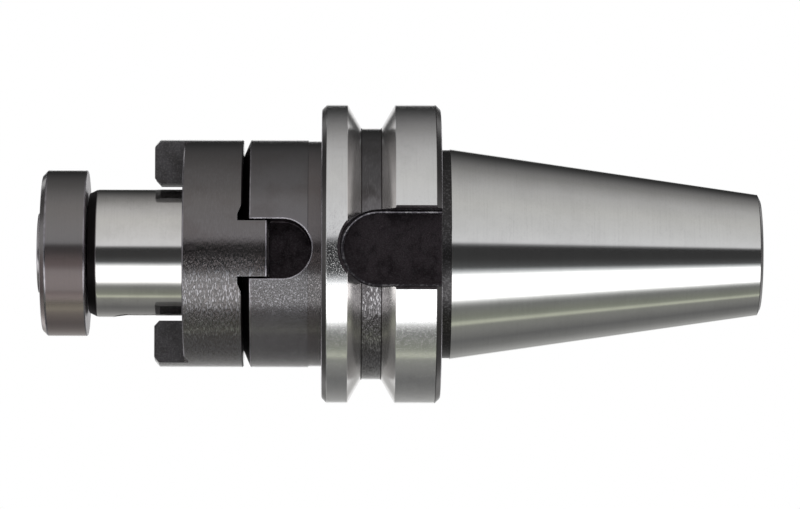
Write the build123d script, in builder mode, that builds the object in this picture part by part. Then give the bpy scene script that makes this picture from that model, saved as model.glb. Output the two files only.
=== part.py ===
from build123d import *

import os
from math import hypot, radians, tan

# A combination shell mill arbor: a steep-taper shank with a flange, a collar and a pilot, turned from one bar,
# with a loose drive ring on the pilot and a retaining screw in its end.
# The origin is the centre of the gauge plane, where the taper is widest. +X runs along the axis to the small end
# of the taper, and -X to the screw. The dogs stand at +Z and -Z, the tongues and the flange's drive slots at
# +Y and -Y. Sizes are in millimetres, and a depth is measured inwards from the surface.

# Taper shank
gauge_diameter = 44.45
taper_length = 65.4
taper_rate = 7 / 24
tail_bevel_length = 0.6
tail_bevel_depth = 1.1

# Hole for a pull stud in the small end, drawn at its thread's core
stud_hole_diameter = 14.0
stud_hole_depth = 43.0
stud_seat_diameter = 17.0
stud_seat_depth = 9.0
stud_mouth_bevel = 1.0
centre_angle = 60.0

# Neck and flange
neck_length = 2.0
neck_depth = 0.25
flange_diameter = 63.0
flange_width = 25.0
flange_bevel = 1.1

# V groove for the gripper, placed from the flange's rear face
groove_setback = 14.6
groove_opening = 10.0
groove_depth = 5.0
groove_angle = 60.0

# Drive slots in the flange
drive_slot_width = 16.1
drive_slot_wall = 3.9
drive_slot_rise = 0.375
drive_slot_corner = 0.75
drive_slot_edge_break = 0.45

# Collar
collar_diameter = 48.0
collar_length = 16.0
collar_bevel_length = 1.1
collar_bevel_depth = 3.4
collar_relief_width = 2.8
collar_relief_depth = 0.2
tongue_slot_wall = 2.0
tongue_slot_edge_break = 0.3

# Pilot, with a ground seat for the cutter and one for the drive ring
pilot_diameter = 27.0
pilot_length = 33.0
pilot_lead_length = 1.9
pilot_lead_depth = 0.92
pilot_root_width = 1.5
pilot_root_depth = 0.3
seat_groove_width = 0.8
seat_groove_depth = 0.25
seat_groove_show = 0.1

# Keyway in the pilot's underside
keyway_width = 7.0
keyway_length = 25.0
keyway_depth = 4.0
keyway_setback = 4.9

# Drive ring
ring_thickness = 12.5
ring_gap = 0.4
ring_clearance = 0.08
ring_bore_bevel = 0.5
ring_edge_break = 0.3

# Dogs on the ring's front and tongues on its rear, which stand clear of the pilot by the same rise
prong_rise = 0.9
dog_width = 12.0
dog_length = 6.2
dog_bevel_length = 1.05
dog_bevel_depth = 1.14
tongue_width = 11.6
tongue_length = 5.8
tongue_bevel = 0.8
tongue_side_clearance = 0.35
tongue_floor_clearance = 0.4
root_relief_depth = 1.0
root_relief_floor = 1.4
root_relief_slant = 2.4

# Retaining screw, with its shank drawn at the thread's core
screw_diameter = 12.0
screw_thread_depth = 0.95
screw_thread_clearance = 0.15
screw_shank_length = 24.0
screw_tip_bevel = 1.0
screw_runout = 6.0
screw_mouth_bevel = 0.9
head_gap = 0.3
head_diameter = 35.0
head_thickness = 9.5
head_bevel = 1.1
head_rear_break = 0.35
boss_diameter = 16.9
boss_height = 1.0
boss_edge_break = 0.35
socket_width = 10.0
socket_depth = 7.0
socket_mouth_bevel = 0.4

# Modelling values
overrun = 1.0
near = 0.01
seam_angle = 40.0

# Radii
gauge_radius = gauge_diameter / 2
tail_radius = gauge_radius - taper_length * taper_rate / 2
neck_radius = gauge_radius - neck_depth
flange_radius = flange_diameter / 2
collar_radius = collar_diameter / 2
pilot_radius = pilot_diameter / 2
screw_hole_radius = screw_diameter / 2 + screw_thread_clearance
ring_bore_radius = pilot_radius + ring_clearance
prong_height = pilot_radius + prong_rise

# Stations along the axis
flange_rear = -neck_length
flange_front = flange_rear - flange_width
collar_front = flange_front - collar_length
pilot_front = collar_front - pilot_length
ring_rear = collar_front - ring_gap
ring_front = ring_rear - ring_thickness
head_rear = pilot_front - head_gap
head_front = head_rear - head_thickness


def turned_face(*outline):
    """Return a closed outline of (station, radius) points as a face in a plane through the axis.

    The plane is turned about the axis, so that the seams of the turned faces miss the slots and the keyway.
    """
    with BuildSketch(Plane.XZ.rotated((seam_angle, 0, 0))) as section:
        with BuildLine():
            Polyline(*outline, close=True)
        make_face()
    return section.sketch


def bored_face(mouth, inward, radius, depth):
    """Return the half section of a blind hole with a flat floor, bored from mouth along inward (1 or -1)."""
    return turned_face(
        (mouth - inward * overrun, 0),
        (mouth - inward * overrun, radius),
        (mouth + inward * depth, radius),
        (mouth + inward * depth, 0),
    )


def flared_face(mouth, inward, radius, bevel, flank_angle):
    """Return the half section of a hole's bevelled mouth, which flares by bevel at the mouth's plane."""
    slope = tan(radians(flank_angle))
    return turned_face(
        (mouth - inward * overrun, 0),
        (mouth - inward * overrun, radius + bevel + overrun * slope),
        (mouth + inward * bevel / slope, radius),
        (mouth + inward * bevel / slope, 0),
    )


def milled_slot(floor, closed_end, open_end, width):
    """Return the outline of a slot with one round end, on a plane at floor from the axis, open past open_end."""
    towards_open = 1 if open_end > closed_end else -1
    start = closed_end + towards_open * width / 2
    with BuildSketch(Plane.XZ.offset(floor)) as outline:
        with Locations(((start + open_end) / 2, 0)):
            SlotCenterToCenter(abs(open_end - start), width)
    return outline.sketch


def floor_edges(edges, floor, open_end):
    """Return a slot's edges at its floor, on both sides of the part, apart from those at its open end."""
    return edges.filter_by(
        lambda edge: abs(abs((edge @ 0.5).Y) - floor) < near
        and abs(abs((edge @ 0).Y) - floor) < near
        and abs((edge @ 0.5).X - open_end) > near
    )


def rim_edges(edges, radius, half_width):
    """Return the edges that a slot leaves on an outer cylinder, on both sides of the part."""

    def on_rim(edge):
        points = [edge @ share for share in (0, 0.5, 1)]
        stations = [point.X for point in points]
        on_cylinder = all(abs(hypot(point.Y, point.Z) - radius) < near for point in points)
        in_slot = all(abs(point.Z) < half_width + near for point in points)
        return on_cylinder and in_slot and max(stations) - min(stations) > near

    return edges.filter_by(on_rim)


# The arbor's body: turned blank, milled slots with broken edges, then the turned grooves, bevels and holes
drive_slot_floor = gauge_radius + drive_slot_rise
tongue_slot_floor = prong_height - tongue_floor_clearance
tongue_slot_width = tongue_width + 2 * tongue_side_clearance
groove_centre = flange_rear - groove_setback
groove_slope = tan(radians(groove_angle / 2))
groove_root_half = groove_opening / 2 - groove_depth * groove_slope
groove_top_half = groove_opening / 2 + overrun * groove_slope
seat_groove_front = ring_front - seat_groove_show
screw_hole_depth = screw_shank_length - head_gap + screw_runout

with BuildPart() as arbor_body:
    revolve(
        turned_face(
            (pilot_front, 0),
            (pilot_front, pilot_radius - pilot_lead_depth),
            (pilot_front + pilot_lead_length, pilot_radius),
            (collar_front, pilot_radius),
            (collar_front, collar_radius),
            (flange_front, collar_radius),
            (flange_front, flange_radius),
            (flange_rear, flange_radius),
            (flange_rear, neck_radius),
            (0, neck_radius),
            (0, gauge_radius),
            (taper_length, tail_radius),
            (taper_length, 0),
        ),
        axis=Axis.X,
    )

    # Drive slots in the flange, with the corner that a bevelled cutter leaves round the floor
    for side in (1, -1):
        slot = milled_slot(side * drive_slot_floor, flange_front + drive_slot_wall, flange_rear, drive_slot_width)
        extrude(slot, amount=side * flange_radius, mode=Mode.SUBTRACT)
    chamfer(floor_edges(edges(), drive_slot_floor, flange_rear), length=drive_slot_corner)
    chamfer(rim_edges(edges(), flange_radius, drive_slot_width / 2), length=drive_slot_edge_break)

    # Slots in the collar for the ring's tongues
    for side in (1, -1):
        slot = milled_slot(side * tongue_slot_floor, flange_front - tongue_slot_wall, collar_front, tongue_slot_width)
        extrude(slot, amount=side * collar_radius, mode=Mode.SUBTRACT)
    chamfer(rim_edges(edges(), collar_radius, tongue_slot_width / 2), length=tongue_slot_edge_break)

    # Bevels of the flange, the collar and the small end
    for rim, inward in ((flange_front, 1), (flange_rear, -1)):
        bevel = turned_face(
            (rim, flange_radius - flange_bevel),
            (rim + inward * flange_bevel, flange_radius),
            (rim, flange_radius + overrun),
        )
        revolve(bevel, axis=Axis.X, mode=Mode.SUBTRACT)
    revolve(
        turned_face(
            (collar_front, collar_radius - collar_bevel_depth),
            (collar_front + collar_bevel_length, collar_radius),
            (collar_front, collar_radius + overrun),
        ),
        axis=Axis.X,
        mode=Mode.SUBTRACT,
    )
    revolve(
        turned_face(
            (taper_length, tail_radius - tail_bevel_depth),
            (taper_length - tail_bevel_length, tail_radius + tail_bevel_length * taper_rate / 2),
            (taper_length, gauge_radius),
        ),
        axis=Axis.X,
        mode=Mode.SUBTRACT,
    )

    # V groove round the flange
    revolve(
        turned_face(
            (groove_centre - groove_top_half, flange_radius + overrun),
            (groove_centre - groove_root_half, flange_radius - groove_depth),
            (groove_centre + groove_root_half, flange_radius - groove_depth),
            (groove_centre + groove_top_half, flange_radius + overrun),
        ),
        axis=Axis.X,
        mode=Mode.SUBTRACT,
    )

    # Shallow reliefs: beside the flange, at the pilot's root, and between the ring's seat and the cutter's
    reliefs = (
        (flange_front - collar_relief_width, flange_front, collar_radius, collar_relief_depth),
        (collar_front - pilot_root_width, collar_front, pilot_radius, pilot_root_depth),
        (seat_groove_front, seat_groove_front + seat_groove_width, pilot_radius, seat_groove_depth),
    )
    for start, stop, radius, depth in reliefs:
        relief = turned_face(
            (start, radius - depth),
            (stop, radius - depth),
            (stop, radius + overrun / 2),
            (start, radius + overrun / 2),
        )
        revolve(relief, axis=Axis.X, mode=Mode.SUBTRACT)

    # Keyway in the pilot's underside
    with BuildSketch(Plane.XY.offset(keyway_depth - pilot_radius)) as keyway:
        with Locations((pilot_front + keyway_setback + keyway_length / 2, 0)):
            SlotOverall(keyway_length, keyway_width)
    extrude(keyway.sketch, amount=-pilot_radius, mode=Mode.SUBTRACT)

    # Hole for the pull stud, with its seat and its centred mouth
    for diameter, depth in ((stud_hole_diameter, stud_hole_depth), (stud_seat_diameter, stud_seat_depth)):
        revolve(bored_face(taper_length, -1, diameter / 2, depth), axis=Axis.X, mode=Mode.SUBTRACT)
    stud_mouth = flared_face(taper_length, -1, stud_seat_diameter / 2, stud_mouth_bevel, centre_angle / 2)
    revolve(stud_mouth, axis=Axis.X, mode=Mode.SUBTRACT)

    # Hole for the retaining screw
    revolve(bored_face(pilot_front, 1, screw_hole_radius, screw_hole_depth), axis=Axis.X, mode=Mode.SUBTRACT)
    screw_mouth = flared_face(pilot_front, 1, screw_hole_radius, screw_mouth_bevel, 45)
    revolve(screw_mouth, axis=Axis.X, mode=Mode.SUBTRACT)

# The drive ring: a turned blank, milled down at both ends to leave two dogs and two tongues
dog_tip = ring_front - dog_length
tongue_tip = ring_rear + tongue_length


def milled_waste(face, width, angle):
    """Return what is milled off the blank beyond face, all round the two prongs that stand across it at angle."""
    with BuildSketch(Plane.YZ.offset(face)) as waste:
        Circle(collar_radius + overrun)
        with Locations(Rotation(0, 0, angle)):
            Rectangle(width, 2 * collar_radius + 4 * overrun, mode=Mode.SUBTRACT)
            Rectangle(width, 2 * prong_height)
    return waste.sketch


def on_collar_cylinder(edge):
    """Say whether an edge runs along the cylinder that the ring shares with the collar."""
    middle = edge @ 0.5
    return abs(hypot(middle.Y, middle.Z) - collar_radius) < near


def relief_outlines(plane, width, face, inward):
    """Return the root reliefs on both flanks of the prongs, whose bases lie at face."""
    floor = face + inward * root_relief_depth
    with BuildSketch(plane) as outlines:
        for flank in (1, -1):
            base = width / 2
            with BuildLine():
                Polyline(
                    (face - inward * near, flank * base),
                    (floor, flank * base),
                    (floor, flank * (base + root_relief_floor)),
                    (face, flank * (base + root_relief_floor + root_relief_slant)),
                    (face - inward * near, flank * (base + root_relief_floor + root_relief_slant)),
                    close=True,
                )
            make_face()
    return outlines.sketch


with BuildPart() as drive_ring:
    revolve(
        turned_face(
            (dog_tip, ring_bore_radius),
            (dog_tip, collar_radius - dog_bevel_depth),
            (dog_tip + dog_bevel_length, collar_radius),
            (tongue_tip - tongue_bevel, collar_radius),
            (tongue_tip, collar_radius - tongue_bevel),
            (tongue_tip, ring_bore_radius),
        ),
        axis=Axis.X,
    )
    extrude(milled_waste(ring_front, dog_width, 0), amount=-2 * dog_length, mode=Mode.SUBTRACT)
    extrude(milled_waste(ring_rear, tongue_width, 90), amount=2 * tongue_length, mode=Mode.SUBTRACT)

    # Edges of the dogs' inner tips, of the ring's rims and of its bore's front
    dog_tips = edges().group_by(Axis.X)[0].filter_by(Axis.Y)
    chamfer(dog_tips, length=dog_bevel_depth, length2=dog_bevel_length)
    for face in (ring_front, ring_rear):
        rims = edges().filter_by_position(Axis.X, face - near, face + near).filter_by(on_collar_cylinder)
        chamfer(rims, length=ring_edge_break)
    revolve(flared_face(ring_front, 1, ring_bore_radius, ring_bore_bevel, 45), axis=Axis.X, mode=Mode.SUBTRACT)

    # Reliefs at the roots, so that the corners of a mating slot clear them
    dog_reliefs = relief_outlines(Plane.XY, dog_width, ring_front, 1)
    extrude(dog_reliefs, amount=collar_radius, both=True, mode=Mode.SUBTRACT)
    tongue_reliefs = relief_outlines(Plane.XZ, tongue_width, ring_rear, -1)
    extrude(tongue_reliefs, amount=collar_radius, both=True, mode=Mode.SUBTRACT)

# The retaining screw: a turned blank with a boss on its head, and a hexagon socket
head_radius = head_diameter / 2
boss_radius = boss_diameter / 2
boss_front = head_front - boss_height
shank_radius = screw_diameter / 2 - screw_thread_depth
shank_tip = head_rear + screw_shank_length

with BuildPart() as retaining_screw:
    revolve(
        turned_face(
            (boss_front, 0),
            (boss_front, boss_radius),
            (head_front, boss_radius),
            (head_front, head_radius - head_bevel),
            (head_front + head_bevel, head_radius),
            (head_rear - head_rear_break, head_radius),
            (head_rear, head_radius - head_rear_break),
            (head_rear, shank_radius),
            (shank_tip - screw_tip_bevel, shank_radius),
            (shank_tip, shank_radius - screw_tip_bevel),
            (shank_tip, 0),
        ),
        axis=Axis.X,
    )
    chamfer(edges().group_by(Axis.X)[0], length=boss_edge_break)

    # Hexagon socket, bevelled at its mouth
    with BuildSketch(Plane.YZ.offset(boss_front)):
        RegularPolygon(radius=socket_width / 2, side_count=6, major_radius=False, rotation=30)
    extrude(amount=socket_depth, mode=Mode.SUBTRACT)
    socket_mouth = flared_face(boss_front, 1, socket_width / 2, socket_mouth_bevel, 45)
    revolve(socket_mouth, axis=Axis.X, mode=Mode.SUBTRACT)

arbor_body.part.label = "arbor_body"
drive_ring.part.label = "drive_ring"
retaining_screw.part.label = "retaining_screw"

os.makedirs("parts", exist_ok=True)
export_step(arbor_body.part, "parts/arbor_body.step")
export_step(drive_ring.part, "parts/drive_ring.step")
export_step(retaining_screw.part, "parts/retaining_screw.step")
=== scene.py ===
"""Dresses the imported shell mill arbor: three steel pieces with their finishes, a studio and the camera.

Sizes are in millimetres, and become metres where a mesh or a node is made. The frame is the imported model's
own: the origin is the centre of the gauge plane on the axis, +X runs to the small end of the taper and +Z is
up. A turned outline is a list of corners, each a station along X and a radius, with the steel on its left as
it runs: from the hole in the pilot's end outwards, along the outside to the tail and back in to the pull
stud's hole.
"""
import logging
import math
from collections.abc import Callable, Sequence
from dataclasses import dataclass
from enum import Enum

import bmesh
import bpy
import numpy as np
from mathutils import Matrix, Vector


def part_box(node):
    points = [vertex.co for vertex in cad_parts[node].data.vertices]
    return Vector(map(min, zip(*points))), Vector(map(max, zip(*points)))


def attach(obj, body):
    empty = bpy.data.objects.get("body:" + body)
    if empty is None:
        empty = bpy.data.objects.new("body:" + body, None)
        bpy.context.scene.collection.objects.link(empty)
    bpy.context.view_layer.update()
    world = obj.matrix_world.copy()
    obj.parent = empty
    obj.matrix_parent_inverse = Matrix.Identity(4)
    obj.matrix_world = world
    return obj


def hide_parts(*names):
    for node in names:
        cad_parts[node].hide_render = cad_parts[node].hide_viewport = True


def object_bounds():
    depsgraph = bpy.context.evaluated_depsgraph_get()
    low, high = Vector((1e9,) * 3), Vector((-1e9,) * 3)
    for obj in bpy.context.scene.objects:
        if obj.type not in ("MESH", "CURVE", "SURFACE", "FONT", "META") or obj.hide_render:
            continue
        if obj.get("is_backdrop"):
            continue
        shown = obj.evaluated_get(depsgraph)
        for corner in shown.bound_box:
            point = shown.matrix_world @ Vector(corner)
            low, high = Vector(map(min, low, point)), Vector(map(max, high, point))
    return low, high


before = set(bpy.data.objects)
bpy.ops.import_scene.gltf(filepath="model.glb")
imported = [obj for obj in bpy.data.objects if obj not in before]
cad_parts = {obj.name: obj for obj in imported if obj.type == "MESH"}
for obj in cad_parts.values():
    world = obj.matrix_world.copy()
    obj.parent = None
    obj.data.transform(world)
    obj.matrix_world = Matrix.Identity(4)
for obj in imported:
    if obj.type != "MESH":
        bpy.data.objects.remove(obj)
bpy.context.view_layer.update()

MM = 0.001

Colour = tuple[float, float, float]
Point = tuple[float, float, float]
Flat = tuple[float, float]

BLACK: Colour = (0.0, 0.0, 0.0)
WHITE: Colour = (1.0, 1.0, 1.0)
BARE_STEEL: Colour = (0.6, 0.59, 0.61)

# How finely the meshes are made
SEGMENTS = 256
ROUNDING_STEPS = 3
FILLET_STEPS = 6
ARC_STEPS = 36
THREAD_STEPS = 6
THREAD_FADE_STEPS = 2
THREAD_STEEPNESS = 2.6
FLOOR_SEGMENTS = 96

# Tolerances of the meshes: distances in mm, an angle, and the cosine of the angle between two normals
ON_AXIS = 1e-6
MERGE = 0.002
CLEAR = 3.0
SHARP_ANGLE = math.radians(20)
TURNED_REACH = 0.03
TURNED_COSINE = 0.985
TINY = 1e-9

# How finely the noises and the rounded edges of a finish are drawn
STAIN_DETAIL = 4
MARK_DETAIL = 3
GRAIN_DETAIL = 2
NOISE_ROUGHNESS = 0.6
BEVEL_SAMPLES = 6

# The values of a noise, or of an edge's bend, between which a finish changes
STAIN_LIMITS = (0.42, 0.68)
# Painted glints: noise values between which bare-metal specks light the grains' tops
SPECK_AND_GLINT_LIMITS = (0.48, 0.66)
# Edge bend between which edges turn to bare metal, partly abrasion, partly painted highlight
EDGE_WEAR_AND_HIGHLIGHT_LIMITS = (0.01, 0.16)

# The depths under the axis, or heights over it, between which a finish changes
UNDERSIDE = (-1.5, 3.0)
# Grains and their painted glints lie mostly below these heights
GRAIN_AND_GLINT_SIDE = (-1.0, 5.0)
# Painted reflection: depths between which the bottom of the underside takes a reflection's colour
LOW_REFLECTION_DEPTHS = (8.5, 11.5)
# Painted shade: heights between which the side that faces up is darkened
PAINTED_SHADE_HEIGHTS = (9.0, 14.0)

# How strongly it changes with them
SHADE_LEAST = 0.84
SHADE_SPREAD = 0.32
MARKS_SHARE = 0.6
# Share of the grains and painted glints kept on the side that faces up
GRAINS_AND_GLINTS_ABOVE = 0.12
UNDERSIDE_ROUGHER = 0.28
LOWEST_SMOOTHER = 0.36
UNDERSIDE_FILM_LOSS = 0.8
# How bright the abraded, painted-highlit edges get, varied by the stain noise
EDGE_WEAR_AND_HIGHLIGHT_LEAST = 0.55
EDGE_WEAR_AND_HIGHLIGHT_SPREAD = 0.6

log = logging.getLogger("shell_mill_arbor")


class Value:
    """A number in a node tree. An expression on values adds its Math nodes."""

    def __init__(self, tree: "Tree", socket: bpy.types.NodeSocket) -> None:
        """Wrap a socket of a tree."""
        self.tree = tree
        self.socket = socket

    def __add__(self, other: "Value | float") -> "Value":
        """Return self + other."""
        return self.tree.math("ADD", self, other)

    def __radd__(self, other: float) -> "Value":
        """Return other + self."""
        return self.tree.math("ADD", other, self)

    def __sub__(self, other: "Value | float") -> "Value":
        """Return self - other."""
        return self.tree.math("SUBTRACT", self, other)

    def __rsub__(self, other: float) -> "Value":
        """Return other - self."""
        return self.tree.math("SUBTRACT", other, self)

    def __mul__(self, other: "Value | float") -> "Value":
        """Return self * other."""
        return self.tree.math("MULTIPLY", self, other)

    def __rmul__(self, other: float) -> "Value":
        """Return other * self."""
        return self.tree.math("MULTIPLY", other, self)

    def __abs__(self) -> "Value":
        """Return the size of self."""
        return self.tree.math("ABSOLUTE", self)

    def between(self, low: float, high: float) -> "Value":
        """Step smoothly from 0 to 1.

        Args:
            low: The value up to which the step is 0.
            high: The value from which it is 1.

        Returns:
            The step.
        """
        made = self.tree.node(
            "ShaderNodeMapRange",
            {"interpolation_type": "SMOOTHSTEP"},
            {"Value": self, "From Min": low, "From Max": high},
        )
        return Value(self.tree, made.outputs["Result"])


class Tree:
    """A node tree that is being filled."""

    def __init__(self, node_tree: bpy.types.NodeTree) -> None:
        """Empty a node tree and keep it.

        Args:
            node_tree: The tree of a material or a world.
        """
        node_tree.nodes.clear()
        self.nodes = node_tree.nodes
        self.links = node_tree.links

    def node(self, kind: str, settings: dict | None = None, sockets: dict | None = None) -> bpy.types.Node:
        """Add a node.

        Args:
            kind: The node's type.
            settings: Its settings by name, which are set first. A ramp's stops are (place, colour) pairs.
            sockets: A value, a link or a number for each input, by the input's identifier, name or index.

        Returns:
            The node.
        """
        made = self.nodes.new(kind)
        for name, setting in (settings or {}).items():
            if name == "stops":
                self._set_stops(made.color_ramp, setting)
            else:
                setattr(made, name, setting)
        for key, given in (sockets or {}).items():
            target = self._input(made, key)
            source = given.socket if isinstance(given, Value) else given
            if isinstance(source, bpy.types.NodeSocket):
                self.links.new(source, target)
            else:
                target.default_value = source
        return made

    @staticmethod
    def _input(node: bpy.types.Node, key: str | int) -> bpy.types.NodeSocket:
        """Find a node's input.

        Args:
            node: The node.
            key: The input's identifier, or else its name or index.

        Returns:
            The input.
        """
        for socket in node.inputs:
            if socket.identifier == key:
                return socket
        return node.inputs[key]

    @staticmethod
    def _set_stops(ramp: bpy.types.ColorRamp, stops: Sequence[tuple[float, Colour]]) -> None:
        """Put stops on a colour ramp, which has two to start with.

        Args:
            ramp: The ramp.
            stops: The place and colour of each stop, in order.
        """
        for _ in stops[2:]:
            ramp.elements.new(0.5)
        for element, (place, colour) in zip(ramp.elements, stops):
            element.position = place
            element.color = (*colour, 1)

    def math(self, operation: str, *terms: "Value | float") -> Value:
        """Add a Math node on its terms and return its result."""
        made = self.node("ShaderNodeMath", {"operation": operation}, dict(enumerate(terms)))
        return Value(self, made.outputs[0])

    def mix(
        self,
        factor: "Value | float",
        first: "bpy.types.NodeSocket | Colour",
        second: "bpy.types.NodeSocket | Colour",
    ) -> bpy.types.NodeSocket:
        """Mix two colours.

        Args:
            factor: How much of the second colour there is, from 0 to 1.
            first: The first colour, or what gives it.
            second: The second colour, or what gives it.

        Returns:
            The mixed colour.
        """
        colours = [(*c, 1) if isinstance(c, tuple) else c for c in (first, second)]
        made = self.node(
            "ShaderNodeMix",
            {"data_type": "RGBA"},
            {"Factor_Float": factor, "A_Color": colours[0], "B_Color": colours[1]},
        )
        return next(socket for socket in made.outputs if socket.identifier == "Result_Color")

    def vector(self, *parts: "Value | float") -> bpy.types.NodeSocket:
        """Combine three numbers into a vector."""
        return self.node("ShaderNodeCombineXYZ", sockets=dict(enumerate(parts))).outputs[0]

    def noise(self, place: bpy.types.NodeSocket, scale: float, detail: float) -> Value:
        """Add a noise texture, from 0 to 1, at a place."""
        sockets = {"Vector": place, "Scale": scale, "Detail": detail, "Roughness": NOISE_ROUGHNESS}
        return Value(self, self.node("ShaderNodeTexNoise", sockets=sockets).outputs[0])

    def bump(self, height: Value, depth: float, normal: bpy.types.NodeSocket) -> bpy.types.NodeSocket:
        """Bend a normal by a relief from 0 to 1 that is so many mm deep."""
        sockets = {"Strength": 1.0, "Distance": depth * MM, "Height": height, "Normal": normal}
        return self.node("ShaderNodeBump", sockets=sockets).outputs[0]


@dataclass(frozen=True)
class Steel:
    """A finish of steel: its colours, its polish, the marks that a tool, oxide and handling have left, and
    some painted light and shade.

    Attributes:
        name: The material's name.
        colour: The metal's colour.
        stain: The colour of its smudges and oxide clouds.
        stain_share: How far the stains take over, from 0 to 1.
        stain_size: The size of a stain.
        roughness: The roughness where the metal is clean.
        roughness_spread: What the roughness gains from one patch to another.
        mark_pitch: The distance between the tool's marks, which run round the axis.
        mark_length: How far a mark runs round the axis.
        mark_depth: The depth of those marks.
        grain_size: The size of the grains and pits in the surface.
        grain_length: How far a grain is drawn out round the axis.
        grain_depth: The depth of those grains.
        pits: The values of the grains' noise at a pit's floor and at its rim.
        grains_and_glints_below: Whether the grains, and the painted glints on them, lie mostly on the side
            that faces down.
        specks_and_glints: How bright the tops of the grains shine, from 0 to 1: partly bare metal showing
            through, partly painted glints.
        wear_and_highlight: How bright the edges are abraded, from 0 to 1, which also paints a highlight
            along them.
        wear_and_glint_colour: The colour of the bare metal that shows on abraded edges and grains, and of
            their painted highlights and glints.
        edge: The width of the rounding that shows on a sharp edge.
        film: How much of a glassy oxide film lies over the metal, from 0 to 1.
        film_index: The film's index of refraction.
        film_roughness: The film's roughness.
        underside_and_low_reflection: How far the side that faces down turns to the stain colour, rougher and
            with less film, and how far the bottom of that side takes the painted reflection's colour, from 0
            to 1.
        painted_low_reflection: The colour of a painted reflection along the bottom of that side.
        painted_shade_above: How much painted shade darkens the side that faces up, from 0 to 1.
        metallic: How far the surface is bare or filmed metal and not a matt crust, from 0 to 1.
        turned: Whether the marks and grains run round the axis, or lie anyhow as on a milled face.
    """

    name: str
    colour: Colour
    stain: Colour
    stain_share: float = 0.4
    stain_size: float = 9.0
    roughness: float = 0.2
    roughness_spread: float = 0.06
    mark_pitch: float = 0.25
    mark_length: float = 12.0
    mark_depth: float = 0.0004
    grain_size: float = 0.4
    grain_length: float = 0.4
    grain_depth: float = 0.0
    pits: Flat = (0.34, 0.46)
    grains_and_glints_below: bool = False
    specks_and_glints: float = 0.0
    wear_and_highlight: float = 0.0
    wear_and_glint_colour: Colour = BARE_STEEL
    edge: float = 0.15
    film: float = 0.0
    film_index: float = 2.0
    film_roughness: float = 0.14
    underside_and_low_reflection: float = 0.0
    painted_low_reflection: Colour = (0.42, 0.355, 0.345)
    painted_shade_above: float = 0.0
    metallic: float = 1.0
    turned: bool = True

    def material(self) -> bpy.types.Material:
        """Return the finish as a material, made once."""
        found = bpy.data.materials.get(self.name)
        return found or self._build()

    def _build(self) -> bpy.types.Material:
        """Build the material's nodes.

        Returns:
            The material.
        """
        material = bpy.data.materials.new(self.name)
        material.use_nodes = True
        tree = Tree(material.node_tree)
        coordinates = tree.node("ShaderNodeTexCoord").outputs["Object"]
        place = tree.node("ShaderNodeVectorMath", {"operation": "SCALE"}, {0: coordinates, "Scale": 1 / MM})
        parts = tree.node("ShaderNodeSeparateXYZ", sockets={0: place.outputs[0]})
        x, y, z = (Value(tree, socket) for socket in parts.outputs)
        along = x + tree.math("SQRT", y * y + z * z) if self.turned else x
        mark_stretch = self.mark_pitch / self.mark_length if self.turned else 1.0
        grain_stretch = self.grain_size / self.grain_length if self.turned else 1.0
        mark_place = tree.vector(along, mark_stretch * y, mark_stretch * z)
        grain_place = tree.vector(along, grain_stretch * y, grain_stretch * z)
        clouds = tree.noise(place.outputs[0], 1 / self.stain_size, STAIN_DETAIL)
        marks = tree.noise(mark_place, 1 / self.mark_pitch, MARK_DETAIL)
        grains = tree.noise(grain_place, 1 / self.grain_size, GRAIN_DETAIL)
        bevel = tree.node("ShaderNodeBevel", {"samples": BEVEL_SAMPLES}, {"Radius": self.edge * MM})

        depth = -1 * z
        below = self.underside_and_low_reflection * depth.between(*UNDERSIDE)
        # Painted reflection: a strip along the bottom of the underside, smoother and in a reflection's
        # colour
        low_reflection = self.underside_and_low_reflection * depth.between(*LOW_REFLECTION_DEPTHS)
        stained = tree.math("MAXIMUM", clouds.between(*STAIN_LIMITS) * self.stain_share, below)
        # Painted glints: bare-metal specks on the grains' tops, partly metal showing through, partly glints
        # of light
        speck_and_glint_mask = self.specks_and_glints * grains.between(*SPECK_AND_GLINT_LIMITS)
        relief = grains.between(*self.pits)
        # Grains and painted glints are kept mostly to the side that faces down
        if self.grains_and_glints_below:
            grain_and_glint_side = GRAINS_AND_GLINTS_ABOVE + (1 - GRAINS_AND_GLINTS_ABOVE) * depth.between(*GRAIN_AND_GLINT_SIDE)
            speck_and_glint_mask = grain_and_glint_side * speck_and_glint_mask
            relief = grain_and_glint_side * relief
        marked = tree.bump(marks, self.mark_depth, bevel.outputs[0])
        grained = tree.bump(relief, self.grain_depth, marked)

        # The bottom strip of the underside is mixed to the painted reflection's colour
        colour = tree.mix(low_reflection, tree.mix(stained, self.colour, self.stain), self.painted_low_reflection)
        shade = SHADE_LEAST + SHADE_SPREAD * (MARKS_SHARE * marks + (1 - MARKS_SHARE) * grains)
        # Painted shade: the side that faces up is darkened
        shade = shade * (1 - self.painted_shade_above * z.between(*PAINTED_SHADE_HEIGHTS))
        colour = tree.mix(shade, BLACK, colour)
        colour = tree.mix(speck_and_glint_mask, colour, self.wear_and_glint_colour)
        # Edges turn to bare metal: partly abrasion, partly a painted highlight
        colour = tree.mix(self._edge_wear_and_highlight(tree, bevel.outputs[0], clouds), colour, self.wear_and_glint_colour)
        roughness = self.roughness + self.roughness_spread * (0.5 * clouds + 0.5 * marks)
        roughness = roughness + UNDERSIDE_ROUGHER * below - LOWEST_SMOOTHER * low_reflection
        sockets = {
            "Base Color": colour,
            "Metallic": self.metallic,
            "Roughness": roughness,
            "Normal": grained,
        }
        if self.film:
            sockets["Coat Weight"] = self.film * (1 - UNDERSIDE_FILM_LOSS * below)
            sockets["Coat IOR"] = self.film_index
            sockets["Coat Roughness"] = self.film_roughness
        principled = tree.node("ShaderNodeBsdfPrincipled", sockets=sockets)
        tree.node("ShaderNodeOutputMaterial", sockets={"Surface": principled.outputs[0]})
        return material

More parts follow.
